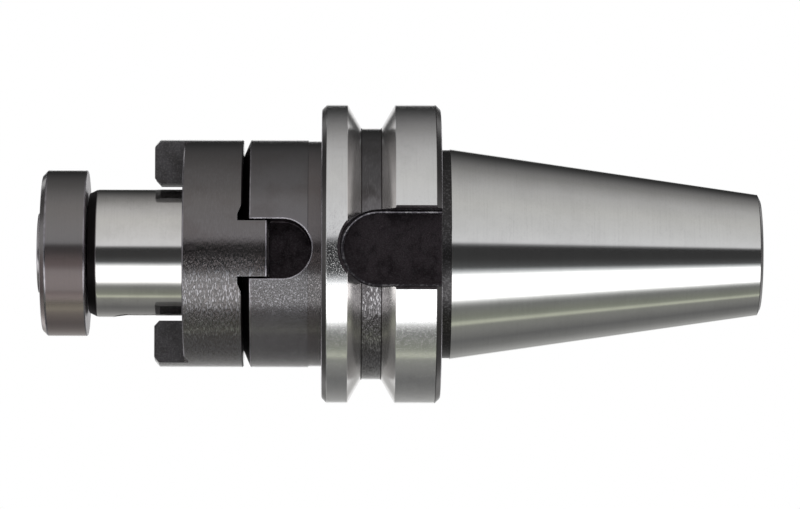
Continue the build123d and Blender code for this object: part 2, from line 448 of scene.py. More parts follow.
    def _edge_wear_and_highlight(self, tree: Tree, rounded: bpy.types.NodeSocket, clouds: Value) -> Value:
        """Find where an edge is made bright: partly abrasion, partly a painted highlight along the edge.

        Args:
            tree: The material's tree.
            rounded: The normal that the edge's rounding gives.
            clouds: The noise that the rubbing varies with.

        Returns:
            How far the bare metal colour, with the painted highlight, shows, from 0 to 1.
        """
        geometry = tree.node("ShaderNodeNewGeometry")
        turned = tree.node(
            "ShaderNodeVectorMath",
            {"operation": "DOT_PRODUCT"},
            {0: rounded, 1: geometry.outputs["Normal"]},
        )
        bend = 1 - Value(tree, turned.outputs["Value"])
        return self.wear_and_highlight * bend.between(*EDGE_WEAR_AND_HIGHLIGHT_LIMITS) * (EDGE_WEAR_AND_HIGHLIGHT_LEAST + EDGE_WEAR_AND_HIGHLIGHT_SPREAD * clouds)


@dataclass(frozen=True)
class BlackOxide(Steel):
    """Black oxide on turned steel: a glossy film, with grains and painted glints on the side that faces
    down.
    """

    stain_share: float = 0.5
    roughness: float = 0.16
    mark_depth: float = 0.0006
    grain_size: float = 0.25
    grain_length: float = 0.25
    grain_depth: float = 0.09
    pits: Flat = (0.36, 0.6)
    grains_and_glints_below: bool = True
    specks_and_glints: float = 0.17
    wear_and_glint_colour: Colour = (0.5, 0.515, 0.57)
    film: float = 1.0
    film_index: float = 1.5


class Finish(Enum):
    """The finishes of the arbor's surfaces, several of which carry painted light and shade."""

    TAPER = Steel("ground_taper", (0.63, 0.63, 0.62), (0.52, 0.52, 0.51), 0.3, roughness=0.07)
    PILOT = Steel("ground_pilot", (0.65, 0.64, 0.625), (0.5, 0.49, 0.475), 0.4, roughness=0.08)
    LAND = Steel(
        "ground_flange", (0.7, 0.7, 0.7), (0.58, 0.58, 0.58), 0.4, roughness=0.1, grain_size=0.2,
        grain_length=0.2, grain_depth=0.012, pits=(0.3, 0.42),
    )
    FLANK = Steel("turned_groove_flank", (0.78, 0.765, 0.76), (0.6, 0.585, 0.575), roughness=0.15)
    BEVEL = Steel("turned_bevel", (0.105, 0.1, 0.1), (0.08, 0.078, 0.076), roughness=0.24)
    GROOVE = BlackOxide(
        "groove_floor", (0.125, 0.118, 0.125), (0.04, 0.033, 0.034), 0.75, 5.0, mark_depth=0.002,
        grain_size=0.24, grain_length=1.0, grain_depth=0.1, specks_and_glints=0.42, wear_and_glint_colour=BARE_STEEL, painted_shade_above=0.5,
        film_index=1.4, film_roughness=0.16,
    )
    COLLAR = BlackOxide(
        "black_oxide_collar", (0.125, 0.118, 0.124), (0.08, 0.066, 0.066), wear_and_highlight=0.5, painted_shade_above=0.3
    )
    RELIEF = BlackOxide(
        "brown_oxide_relief", (0.1, 0.088, 0.09), (0.075, 0.058, 0.056), roughness=0.18, wear_and_glint_colour=BARE_STEEL
    )
    RING = BlackOxide(
        "black_oxide_ring", (0.125, 0.115, 0.116), (0.08, 0.064, 0.062), grain_size=0.22, grain_length=1.0,
        grain_depth=0.1, specks_and_glints=0.24, wear_and_highlight=0.5, painted_shade_above=0.25,
    )
    DOG = Steel(
        "milled_dogs", (0.07, 0.066, 0.071), (0.03, 0.026, 0.027), 0.8, 2.2, roughness=0.45,
        mark_depth=0.0, grain_size=0.4, grain_depth=0.04, specks_and_glints=0.1, wear_and_highlight=0.7, metallic=0.0, turned=False,
    )
    SLOT = Steel(
        "milled_slot", (0.05, 0.041, 0.046), (0.018, 0.014, 0.016), 0.8, 2.4, roughness=0.36, mark_depth=0.0,
        grain_size=0.3, grain_depth=0.015, specks_and_glints=0.05, wear_and_highlight=0.3, turned=False,
    )
    FILLET = Steel(
        "burnished_fillet", (0.085, 0.08, 0.09), (0.035, 0.032, 0.036), 0.85, 2.6, roughness=0.24,
        grain_size=0.9, grain_length=0.9, specks_and_glints=0.22, underside_and_low_reflection=0.8, painted_low_reflection=(0.06, 0.055, 0.06),
    )
    # These two paint highlights on the roundings of rims and slot edges, over abraded bare metal
    SLOT_RIM = Steel("worn_and_highlit_slot_rim", (0.5, 0.48, 0.52), (0.24, 0.22, 0.24), 0.7, 1.6, roughness=0.24)
    RIM = Steel("worn_and_highlit_rim", (0.3, 0.285, 0.305), (0.16, 0.15, 0.16), 0.7, 2.0, roughness=0.22, wear_and_highlight=0.6)
    NECK = Steel("neck_relief", (0.05, 0.048, 0.049), (0.028, 0.027, 0.027), roughness=0.3, specks_and_glints=0.1)
    # Near-black, darker than the oxide: partly the steel's black, partly painted shade in gaps and creases,
    # at the pilot's lead, the collar's front, the groove's roots and the ring's rear rim
    BLACK_AND_GAP_SHADE = Steel("black_bevel_and_gap_shade", (0.03, 0.027, 0.027), (0.02, 0.018, 0.018), roughness=0.4)
    BORE = Steel("bored_steel", (0.38, 0.375, 0.37), (0.26, 0.25, 0.25), roughness=0.33, mark_depth=0.002)
    THREAD = Steel("threaded_steel", (0.3, 0.29, 0.285), (0.2, 0.19, 0.185), roughness=0.34)
    SCREW = Steel(
        "brown_oxide_screw", (0.115, 0.104, 0.104), (0.165, 0.13, 0.128), 0.1, roughness=0.3,
        mark_depth=0.0015, grain_length=1.2, grain_depth=0.004, wear_and_highlight=0.7, film=0.9, film_roughness=0.12,
        underside_and_low_reflection=0.9, painted_shade_above=0.4,
    )
    SCREW_FRONT = Steel(
        "brown_oxide_screw_front", (0.115, 0.104, 0.104), (0.07, 0.055, 0.054), roughness=0.3,
        mark_depth=0.0015, wear_and_highlight=0.7, film=0.9, film_roughness=0.12,
    )
    SCREW_FACE = Steel(
        "faced_screw_head", (0.4, 0.38, 0.4), (0.24, 0.22, 0.22), roughness=0.32, mark_depth=0.002, wear_and_highlight=0.6
    )


@dataclass(frozen=True)
class Corner:
    """A corner of a turned outline.

    Attributes:
        station: Its place along X.
        radius: Its distance from the axis.
        finish: The finish of the stretch that starts at it.
        rounding: How far its rounding reaches along both stretches.
        edge: The finish of that rounding, where it isn't the next stretch's.
        thread: The pitch of a thread on that stretch, and how far it stands out, below 0 where inwards.
    """

    station: float
    radius: float
    finish: Finish
    rounding: float = 0.0
    edge: Finish | None = None
    thread: tuple[float, float] | None = None


@dataclass(frozen=True)
class Stretch:
    """A straight piece of a turned outline.

    Attributes:
        start: The (station, radius) place where it starts.
        stop: The place where it ends.
        start_normal: The surface's normal where it starts.
        stop_normal: The surface's normal where it ends.
        finish: Its finish.
        thread: The pitch of a thread on it, and how far that stands out.
    """

    start: Flat
    stop: Flat
    start_normal: Flat
    stop_normal: Flat
    finish: Finish
    thread: tuple[float, float] | None = None


def unit(vector: Flat) -> Flat:
    """Return a flat vector at length 1."""
    size = math.hypot(*vector)
    return vector[0] / size, vector[1] / size


def rounding_of(corner: Corner, before: Corner, after: Corner) -> list[Stretch]:
    """Round a corner off, tangent to the stretches before and after it.

    Args:
        corner: The corner.
        before: The corner before it.
        after: The corner after it.

    Returns:
        The short stretches of the rounding.
    """
    here = Vector((corner.station, corner.radius))
    arriving = (here - Vector((before.station, before.radius))).normalized()
    leaving = (Vector((after.station, after.radius)) - here).normalized()
    first, last = here - arriving * corner.rounding, here + leaving * corner.rounding
    shares = [step / ROUNDING_STEPS for step in range(ROUNDING_STEPS + 1)]
    points = [first * (1 - s) ** 2 + here * 2 * s * (1 - s) + last * s**2 for s in shares]
    tangents = [(here - first) * (1 - s) + (last - here) * s for s in shares]
    normals = [unit((-tangent.y, tangent.x)) for tangent in tangents]
    finish = corner.edge or corner.finish
    return [
        Stretch(tuple(points[i]), tuple(points[i + 1]), normals[i], normals[i + 1], finish)
        for i in range(ROUNDING_STEPS)
    ]


def outline_of(corners: Sequence[Corner], closed: bool = False) -> list[Stretch]:
    """Turn corners into stretches.

    Args:
        corners: The outline's corners in order, with the steel on the left as it runs.
        closed: Whether the last corner leads back to the first.

    Returns:
        The outline's stretches, with each rounding as a few short ones.
    """
    count = len(corners)
    stretches: list[Stretch] = []
    for i, corner in enumerate(corners):
        after = corners[(i + 1) % count]
        if corner.rounding:
            stretches += rounding_of(corner, corners[i - 1], after)
        if i == count - 1 and not closed:
            break
        start = Vector((corner.station, corner.radius))
        stop = Vector((after.station, after.radius))
        along = (stop - start).normalized()
        start += along * corner.rounding
        stop -= along * after.rounding
        normal = unit((-along.y, along.x))
        stretches.append(Stretch(tuple(start), tuple(stop), normal, normal, corner.finish, corner.thread))
    return stretches


class Shape:
    """Points and faces, each face with a finish, that become one mesh."""

    def __init__(self) -> None:
        """Start with nothing."""
        self.points: list[Point] = []
        self.faces: list[tuple[int, ...]] = []
        self.finishes: list[Finish] = []

    def add_ring(self, points: Sequence[Point]) -> list[int]:
        """Add points.

        Args:
            points: The points.

        Returns:
            Their numbers.
        """
        first = len(self.points)
        self.points += points
        return list(range(first, first + len(points)))

    def add_face(self, corners: Sequence[int], finish: Finish) -> None:
        """Add a face."""
        self.faces.append(tuple(corners))
        self.finishes.append(finish)

    def bridge(self, first: Sequence[int], second: Sequence[int], finish: Finish) -> None:
        """Join two closed rings, of which one may be a single point, with faces.

        Args:
            first: The numbers of the first ring's points.
            second: The numbers of the second ring's points.
            finish: The faces' finish.
        """
        count = max(len(first), len(second))
        for i in range(count):
            j = (i + 1) % count
            if len(first) == 1:
                self.add_face((first[0], second[j], second[i]), finish)
            elif len(second) == 1:
                self.add_face((first[i], first[j], second[0]), finish)
            else:
                self.add_face((first[i], first[j], second[j], second[i]), finish)

    @classmethod
    def turned(cls, stretches: Sequence[Stretch], closed: bool = False) -> "Shape":
        """Turn an outline round the axis.

        Args:
            stretches: The outline. If it isn't closed, it starts and ends on the axis.
            closed: Whether the last stretch leads back to the first.

        Returns:
            The turned shape.
        """
        shape = cls()
        first = ring = shape._turned_ring(stretches[0].start)
        for number, stretch in enumerate(stretches):
            if stretch.thread:
                ring = shape._turn_thread(ring, stretch)
                continue
            is_last = closed and number == len(stretches) - 1
            following = first if is_last else shape._turned_ring(stretch.stop)
            shape.bridge(ring, following, stretch.finish)
            ring = following
        return shape

    def _turned_ring(self, place: Flat, rise: Callable[[float], float] | None = None) -> list[int]:
        """Add a circle of points round the axis, or one point on it.

        Args:
            place: The circle's station and radius.
            rise: What is added to the radius at an angle.

        Returns:
            The points' numbers.
        """
        station, radius = place
        if radius < ON_AXIS:
            return self.add_ring([(station, 0.0, 0.0)])
        points = []
        for i in range(SEGMENTS):
            angle = math.tau * (i + 0.5) / SEGMENTS
            out = radius + (rise(angle) if rise else 0.0)
            points.append((station, out * math.cos(angle), out * math.sin(angle)))
        return self.add_ring(points)

    def _turn_thread(self, ring: list[int], stretch: Stretch) -> list[int]:
        """Add a threaded stretch, whose crests climb round it like a screw's and fade at both ends.

        Args:
            ring: The numbers of the points where it starts.
            stretch: The stretch.

        Returns:
            The numbers of the points where it ends.
        """
        pitch, depth = stretch.thread
        start, stop = Vector(stretch.start), Vector(stretch.stop)
        steps = round(THREAD_STEPS * (stop - start).length / pitch)
        for step in range(1, steps + 1):
            place = start.lerp(stop, step / steps)
            fade = min(1.0, min(step, steps - step) / THREAD_FADE_STEPS)

            def rise(angle: float, station: float = place.x, fade: float = fade) -> float:
                """Return how far the thread stands out at an angle."""
                phase = (station / pitch + angle / math.tau) % 1
                return fade * depth * min(1.0, THREAD_STEEPNESS * (0.5 - abs(phase - 0.5)))

            following = self._turned_ring(tuple(place), rise)
            self.bridge(ring, following, stretch.finish)
            ring = following
        return ring

    def loft(self, rings: Sequence[Sequence[Point]], finishes: Sequence[Finish], cap: Finish) -> None:
        """Join closed rings of points and cap both ends.

        Args:
            rings: The rings in order, each with the same number of points.
            finishes: The finish between each ring and the next.
            cap: The finish of both ends.
        """
        numbers = [self.add_ring(ring) for ring in rings]
        for first, second, finish in zip(numbers, numbers[1:], finishes):
            self.bridge(first, second, finish)
        self.add_face(tuple(reversed(numbers[0])), cap)
        self.add_face(tuple(numbers[-1]), cap)

    def make(self, name: str) -> bpy.types.Object:
        """Put the shape in the scene.

        Args:
            name: The object's name.

        Returns:
            The object, in metres, with its finishes as materials.
        """
        mesh = bpy.data.meshes.new(name)
        mesh.from_pydata([tuple(MM * c for c in point) for point in self.points], [], self.faces)
        used = list(dict.fromkeys(self.finishes))
        for finish in used:
            mesh.materials.append(finish.value.material())
        slots = [used.index(finish) for finish in self.finishes]
        mesh.polygons.foreach_set("material_index", slots)
        face_normals_outwards(mesh)
        made = bpy.data.objects.new(name, mesh)
        bpy.context.scene.collection.objects.link(made)
        return made


def face_normals_outwards(mesh: bpy.types.Mesh) -> None:
    """Turn a closed mesh's faces outwards.

    Args:
        mesh: The mesh.
    """
    work = bmesh.new()
    work.from_mesh(mesh)
    bmesh.ops.recalc_face_normals(work, faces=work.faces)
    work.to_mesh(mesh)
    work.free()


def cut(body: bpy.types.Object, cutter: bpy.types.Object) -> None:
    """Cut one object out of another.

    Args:
        body: The object that is cut. Its new faces have the cutter's finishes.
        cutter: What is cut out of it. It is removed after the cut.
    """
    modifier = body.modifiers.new("cut", "BOOLEAN")
    modifier.operation = "DIFFERENCE"
    modifier.solver = "EXACT"
    modifier.material_mode = "TRANSFER"
    modifier.object = cutter
    settle(body)
    bpy.data.objects.remove(cutter)


def settle(body: bpy.types.Object) -> None:
    """Make what an object's modifiers give its own mesh.

    Args:
        body: The object, which keeps no modifier.
    """
    bpy.context.view_layer.update()
    evaluated = body.evaluated_get(bpy.context.evaluated_depsgraph_get())
    settled = bpy.data.meshes.new_from_object(evaluated)
    body.modifiers.clear()
    body.data = settled


def mark_sharp_edges(mesh: bpy.types.Mesh) -> None:
    """Make every face smooth and every sharp bend between two faces sharp.

    Args:
        mesh: The mesh, whose points that nearly coincide are joined first.
    """
    work = bmesh.new()
    work.from_mesh(mesh)
    bmesh.ops.remove_doubles(work, verts=work.verts, dist=MERGE * MM)
    bmesh.ops.dissolve_degenerate(work, edges=work.edges, dist=MERGE * MM)
    for face in work.faces:
        face.smooth = True
    for edge in work.edges:
        edge.smooth = len(edge.link_faces) == 2 and edge.calc_face_angle(0.0) < SHARP_ANGLE
    work.to_mesh(mesh)
    work.free()


def shade_turned(body: bpy.types.Object, stretches: Sequence[Stretch]) -> None:
    """Give a body's turned faces the true normals of their outline, and its other faces weighted ones.

    Args:
        body: The object, cut to its shape.
        stretches: Each stretch that its turned faces may lie on.
    """
    mark_sharp_edges(body.data)
    weighted = body.modifiers.new("weighted", "WEIGHTED_NORMAL")
    weighted.keep_sharp = True
    settle(body)
    mesh = body.data
    normals = np.zeros(3 * len(mesh.loops), np.float32)
    mesh.corner_normals.foreach_get("vector", normals)
    normals = normals.reshape(-1, 3).astype(float)
    points = np.zeros(3 * len(mesh.vertices))
    mesh.vertices.foreach_get("co", points)
    points = points.reshape(-1, 3) / MM
    corners = np.zeros(len(mesh.loops), np.int32)
    mesh.loops.foreach_get("vertex_index", corners)

    centres = np.array([polygon.center for polygon in mesh.polygons]) / MM
    facing = np.array([polygon.normal for polygon in mesh.polygons])
    owners = np.repeat(np.arange(len(mesh.polygons)), [polygon.loop_total for polygon in mesh.polygons])
    flat_centres = np.column_stack((centres[:, 0], np.hypot(centres[:, 1], centres[:, 2])))
    found = np.full(len(centres), -1)
    best = np.full(len(centres), TURNED_REACH)
    for number, stretch in enumerate(stretches):
        distance = distance_to(flat_centres, stretch)
        outwards = turned_normals(centres, stretch)
        close = (distance < best) & ((outwards * facing).sum(1) > TURNED_COSINE)
        found[close] = number
        best[close] = distance[close]
    for number, stretch in enumerate(stretches):
        chosen = found[owners] == number
        if chosen.any():
            normals[chosen] = turned_normals(points[corners[chosen]], stretch)
    mesh.normals_split_custom_set(normals.tolist())


def share_along(places: np.ndarray, stretch: Stretch) -> np.ndarray:
    """Find how far along a stretch places lie.

    Args:
        places: A station and a radius for each place.
        stretch: The stretch.

    Returns:
        The share of the stretch at each place, from 0 to 1.
    """
    start, stop = np.array(stretch.start), np.array(stretch.stop)
    along = stop - start
    return np.clip((places - start) @ along / max(along @ along, TINY), 0, 1)


def distance_to(places: np.ndarray, stretch: Stretch) -> np.ndarray:
    """Find how far from a stretch places lie.

    Args:
        places: A station and a radius for each place.
        stretch: The stretch.

    Returns:
        The distance of each place.
    """
    share = share_along(places, stretch)[:, None]
    nearest = np.array(stretch.start) * (1 - share) + np.array(stretch.stop) * share
    return np.linalg.norm(places - nearest, axis=1)


def turned_normals(points: np.ndarray, stretch: Stretch) -> np.ndarray:
    """Find the true normals of a turned stretch.

    Args:
        points: Points on it.
        stretch: The stretch.

    Returns:
        The surface's normal at each point.
    """
    radii = np.maximum(np.hypot(points[:, 1], points[:, 2]), TINY)
    share = share_along(np.column_stack((points[:, 0], radii)), stretch)[:, None]
    flat = np.array(stretch.start_normal) * (1 - share) + np.array(stretch.stop_normal) * share
    flat /= np.linalg.norm(flat, axis=1)[:, None]
    outwards = flat[:, 1] / radii
    return np.column_stack((flat[:, 0], outwards * points[:, 1], outwards * points[:, 2]))


@dataclass(frozen=True)
class Slot:
    """A slot with round ends, milled into a cylinder.

    Attributes:
        closed_end: The station of its round end.
        open_end: The station of its other end, which is round too, or beyond the steel.
        width: Its width.
        floor: Its floor's distance from the axis.
        corner: The radius round its floor.
        rim: How far its rim is broken.
        surface: The radius of the cylinder that it is milled into, at a station.
        wall: The finish of its walls and floor.
        fillet: The finish of the rounding between them.
        edge: The finish of its rim.
    """

    closed_end: float
    open_end: float
    width: float
    floor: float
    corner: float
    rim: float
    surface: Callable[[float], float]
    wall: Finish
    fillet: Finish
    edge: Finish

    def outline(self) -> list[tuple[float, float, float, float]]:
        """Outline the slot as seen from above.

        Returns:
            Each point's place along and across, and the normal out of the slot there.
        """
        radius = self.width / 2
        low, high = sorted((self.closed_end, self.open_end))
        outline = []
        for centre, turned in ((high - radius, -math.pi / 2), (low + radius, math.pi / 2)):
            for step in range(ARC_STEPS + 1):
                angle = turned + math.pi * step / ARC_STEPS
                along, across = math.cos(angle), math.sin(angle)
                outline.append((centre + radius * along, radius * across, along, across))
        return outline

    def height(self, along: float, across: float) -> float:
        """Return the height of the cylinder's surface above the axis."""
        return math.sqrt(max(self.surface(along) ** 2 - across**2, 0.0))

    def add_cutter(self, shape: Shape, place: Callable[[float, float, float], Point]) -> None:
        """Add to a shape what the slot removes.

        Args:
            shape: The shape to add to.
            place: Turns (along, across, height) into a point.
        """
        outline = self.outline()
        rings, finishes = [], []
        for step in range(FILLET_STEPS + 1):
            angle = math.pi / 2 * step / FILLET_STEPS
            offset = self.corner * (math.sin(angle) - 1)
            height = self.floor + self.corner * (1 - math.cos(angle))
            rings.append([place(a + offset * na, c + offset * nc, height) for a, c, na, nc in outline])
            finishes.append(self.fillet if step < FILLET_STEPS else self.wall)
        for step in range(ROUNDING_STEPS + 1):
            share = step / ROUNDING_STEPS
            offset, sunk = self.rim * share**2, self.rim * (1 - share) ** 2
            ring = []
            for a, c, na, nc in outline:
                along, across = a + offset * na, c + offset * nc
                ring.append(place(along, across, self.height(along, across) - sunk))
            rings.append(ring)
            finishes.append(self.edge)
        top = self.surface(self.closed_end) + CLEAR
        rings.append([place(a + self.rim * na, c + self.rim * nc, top) for a, c, na, nc in outline])
        shape.loft(rings, finishes, self.wall)


def prism(shape: Shape, outline: Sequence[Point], shift: Point, finish: Finish) -> None:
    """Add a prism to a shape, from a flat outline to the same outline shifted."""
    moved = [tuple(c + s for c, s in zip(point, shift)) for point in outline]
    shape.loft([outline, moved], [finish], finish)


def bar(shape: Shape, section: Sequence[Flat], length: float, level: bool, finish: Finish) -> None:
    """Add a bar to a shape, as far on one side of the axis as on the other.

    Args:
        shape: The shape to add to.
        section: The station of each corner of the bar's section, and its height or its place across.
        length: The bar's length.
        level: Whether the bar lies across, so its section has heights, or stands upright.
        finish: Its finish.
    """
    if level:
        prism(shape, [(station, -length / 2, up) for station, up in section], (0, length, 0), finish)
    else:
        prism(shape, [(station, across, -length / 2) for station, across in section], (0, 0, length), finish)


@dataclass
class ArborBody:
    """The body: taper shank, grooved flange, slotted collar and keyed pilot, in one piece of steel.

    Attributes:
        gauge_radius: The taper's radius at the gauge plane, where it is widest.
        taper_rate: What the taper's diameter loses over a unit of its length.
        stud_thread: The pitch of the pull stud's thread, and how far it is cut into the steel.
        groove_setback: The way from the flange's rear to the middle of its V groove.
        groove_opening: The V groove's width at the flange's rim.
        drive_slot_wall: The steel between a drive slot's closed end and the flange's front.
        drive_slot_rise: How much further from the axis a drive slot's floor lies than the gauge radius.
        gap_shade_face: How far the collar's front reaches into the gap behind the ring, a near-black face
            that paints the shade in that gap.
        tongue_slot_floor: The distance from the axis to a tongue slot's floor.
        tongue_slot_wall: The steel between a tongue slot's closed end and the flange.
        seat_groove: The station, width and depth of the groove in the pilot at the ring's front.
        keyway_setback: The way from the pilot's front to the keyway.
        screw_thread: The pitch of the screw's thread in the pilot, and how far it stands into the hole.
    """

    gauge_radius: float = 22.225
    taper_rate: float = 7 / 24
    tail_bevel_length: float = 0.6
    tail_bevel_depth: float = 1.1
    tail_rounding: float = 0.1
    stud_radius: float = 7.0
    stud_depth: float = 43.0
    stud_thread: tuple[float, float] = (2.0, 0.9)
    stud_seat_radius: float = 8.5
    stud_seat_depth: float = 9.0
    stud_mouth: float = 1.0
    stud_mouth_angle: float = math.radians(30)
    stud_mouth_rounding: float = 0.08
    drill_angle: float = math.radians(59)
    neck_length: float = 2.0
    neck_depth: float = 0.25
    neck_root: float = 0.1
    neck_rounding: float = 0.06
    gauge_rounding: float = 0.08
    flange_width: float = 25.0
    flange_bevel: float = 1.1
    flange_face_rounding: float = 0.22
    flange_rounding: float = 0.12
    groove_setback: float = 14.6
    groove_opening: float = 10.0
    groove_depth: float = 5.0
    groove_flank_angle: float = math.radians(30)
    groove_rounding: float = 0.1
    groove_root: float = 0.15
    drive_slot_width: float = 16.1
    drive_slot_wall: float = 3.9
    drive_slot_rise: float = 0.375
    drive_slot_corner: float = 0.75
    drive_slot_rim: float = 0.6
    collar_radius: float = 24.0
    collar_length: float = 16.0
    collar_bevel_length: float = 1.1
    collar_bevel_depth: float = 3.4
    collar_face_rounding: float = 0.1
    collar_rounding: float = 0.22
    gap_shade_face: float = 0.35
    relief_width: float = 2.8
    relief_depth: float = 0.2
    relief_rounding: float = 0.04
    tongue_slot_width: float = 12.3
    tongue_slot_floor: float = 14.0
    tongue_slot_wall: float = 2.0
    tongue_slot_corner: float = 0.3
    tongue_slot_rim: float = 0.3
    pilot_radius: float = 13.5
    lead_length: float = 1.9
    lead_depth: float = 0.92
    lead_rounding: float = 0.15
    pilot_rounding: float = 0.2
    seat_groove: tuple[float, float, float] = (-56.0, 0.8, 0.25)
    seat_groove_rounding: float = 0.05
    keyway_width: float = 7.0
    keyway_length: float = 25.0
    keyway_depth: float = 4.0
    keyway_setback: float = 4.9
    keyway_corner: float = 0.2
    keyway_rim: float = 0.15
    screw_hole_radius: float = 6.15
    screw_hole_depth: float = 29.7
    screw_mouth: float = 0.9
    screw_thread: tuple[float, float] = (1.75, 0.14)

    def __post_init__(self) -> None:
        """Work the stations out from the frame and the driving sizes."""
        low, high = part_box("arbor_body")
        self.tail = high.x / MM
        self.flange_radius = high.z / MM
        self.flange_rear = -self.neck_length
        self.flange_front = self.flange_rear - self.flange_width
        self.collar_front = self.flange_front - self.collar_length
        self.pilot_front = low.x / MM

    def _pilot(self) -> list[Corner]:
        """Outline the pilot.

        Returns:
            The corners from the bottom of the screw's hole to the collar.
        """
        front, radius = self.pilot_front, self.pilot_radius
        hole, hole_floor = self.screw_hole_radius, self.pilot_front + self.screw_hole_depth
        groove_start, groove_width, groove_depth = self.seat_groove
        groove_stop = groove_start + groove_width
        return [
            Corner(hole_floor + hole / math.tan(self.drill_angle), 0, Finish.BORE),
            Corner(hole_floor, hole, Finish.THREAD, thread=(self.screw_thread[0], -self.screw_thread[1])),
            Corner(front + self.screw_mouth, hole, Finish.BORE),
            Corner(front, hole + self.screw_mouth, Finish.BORE),
            # Painted shade: the lead bevel beside the screw's head is near-black
            Corner(front, radius - self.lead_depth, Finish.BLACK_AND_GAP_SHADE, self.lead_rounding),
            Corner(front + self.lead_length, radius, Finish.PILOT, self.pilot_rounding),
            Corner(groove_start, radius, Finish.NECK, self.seat_groove_rounding),
            Corner(groove_start, radius - groove_depth, Finish.NECK),
            Corner(groove_stop, radius - groove_depth, Finish.NECK),
            Corner(groove_stop, radius, Finish.PILOT, self.seat_groove_rounding),
        ]

    def _collar(self) -> list[Corner]:
        """Outline the collar.

        Returns:
            The corners from the pilot's root to the flange.
        """
        radius = self.collar_radius
        face = self.collar_front - self.gap_shade_face
        face_radius = radius - self.collar_bevel_depth
        bevel_end = self.collar_front + self.collar_bevel_length
        relief = self.flange_front - self.relief_width
        return [
            # Painted shade: the collar's front face and bevel, in the gap behind the ring, are near-black
            Corner(face, self.pilot_radius, Finish.BLACK_AND_GAP_SHADE),
            Corner(face, face_radius, Finish.BLACK_AND_GAP_SHADE, self.collar_face_rounding),
            Corner(bevel_end, radius, Finish.COLLAR, self.collar_rounding, Finish.RIM),
            Corner(relief, radius, Finish.RELIEF, self.relief_rounding),
            Corner(relief, radius - self.relief_depth, Finish.RELIEF),
            Corner(self.flange_front, radius - self.relief_depth, Finish.COLLAR),
        ]

    def _flange(self) -> list[Corner]:
        """Outline the flange, with its V groove.

        Returns:
            The corners from the flange's front to its rear.
        """
        radius, bevel, face = self.flange_radius, self.flange_bevel, self.flange_face_rounding
        centre = self.flange_rear - self.groove_setback
        rim = self.groove_opening / 2
        root = rim - self.groove_depth * math.tan(self.groove_flank_angle)
        floor = radius - self.groove_depth
        return [
            Corner(self.flange_front, radius - bevel, Finish.BEVEL, face, Finish.SLOT_RIM),
            Corner(self.flange_front + bevel, radius, Finish.LAND, self.flange_rounding),
            Corner(centre - rim, radius, Finish.FLANK, self.groove_rounding),
            # Painted shade: the groove's root roundings are near-black
            Corner(centre - root, floor, Finish.GROOVE, self.groove_root, Finish.BLACK_AND_GAP_SHADE),
            Corner(centre + root, floor, Finish.FLANK, self.groove_root, Finish.BLACK_AND_GAP_SHADE),
            Corner(centre + rim, radius, Finish.LAND, self.groove_rounding),
            Corner(self.flange_rear - bevel, radius, Finish.BEVEL, self.flange_rounding),
            Corner(self.flange_rear, radius - bevel, Finish.COLLAR, face, Finish.SLOT_RIM),
        ]

    def _shank(self) -> list[Corner]:
        """Outline the shank.

        Returns:
            The corners from the neck to the bottom of the pull stud's hole.
        """
        neck_radius = self.gauge_radius - self.neck_depth
        bevel_start = self.tail - self.tail_bevel_length
        bevel_radius = self.gauge_radius - bevel_start * self.taper_rate / 2
        tail_radius = self.gauge_radius - self.tail * self.taper_rate / 2 - self.tail_bevel_depth
        seat_radius = self.stud_seat_radius
        seat_floor = self.tail - self.stud_seat_depth
        mouth_end = self.tail - self.stud_mouth / math.tan(self.stud_mouth_angle)
        hole_floor = self.tail - self.stud_depth
        return [
            Corner(self.flange_rear, neck_radius, Finish.NECK, self.neck_root),
            Corner(0, neck_radius, Finish.NECK, self.neck_rounding),
            Corner(0, self.gauge_radius, Finish.TAPER, self.gauge_rounding),
            Corner(bevel_start, bevel_radius, Finish.BEVEL, self.tail_rounding),
            Corner(self.tail, tail_radius, Finish.BORE, self.tail_rounding),
            Corner(self.tail, seat_radius + self.stud_mouth, Finish.BORE, self.stud_mouth_rounding),
            Corner(mouth_end, seat_radius, Finish.BORE),
            Corner(seat_floor, seat_radius, Finish.BORE),
            Corner(seat_floor, self.stud_radius, Finish.THREAD, thread=self.stud_thread),
            Corner(hole_floor, self.stud_radius, Finish.BORE),
            Corner(hole_floor - self.stud_radius / math.tan(self.drill_angle), 0, Finish.BORE),
        ]

    def _milled(self) -> Shape:
        """Shape what the mill removes.

        Returns:
            Two drive slots, two tongue slots and the keyway.
        """
        relief = self.flange_front - self.relief_width

        def collar_surface(station: float) -> float:
            """Return the collar's radius at a station, which its relief makes smaller."""
            return self.collar_radius - (self.relief_depth if station > relief else 0.0)

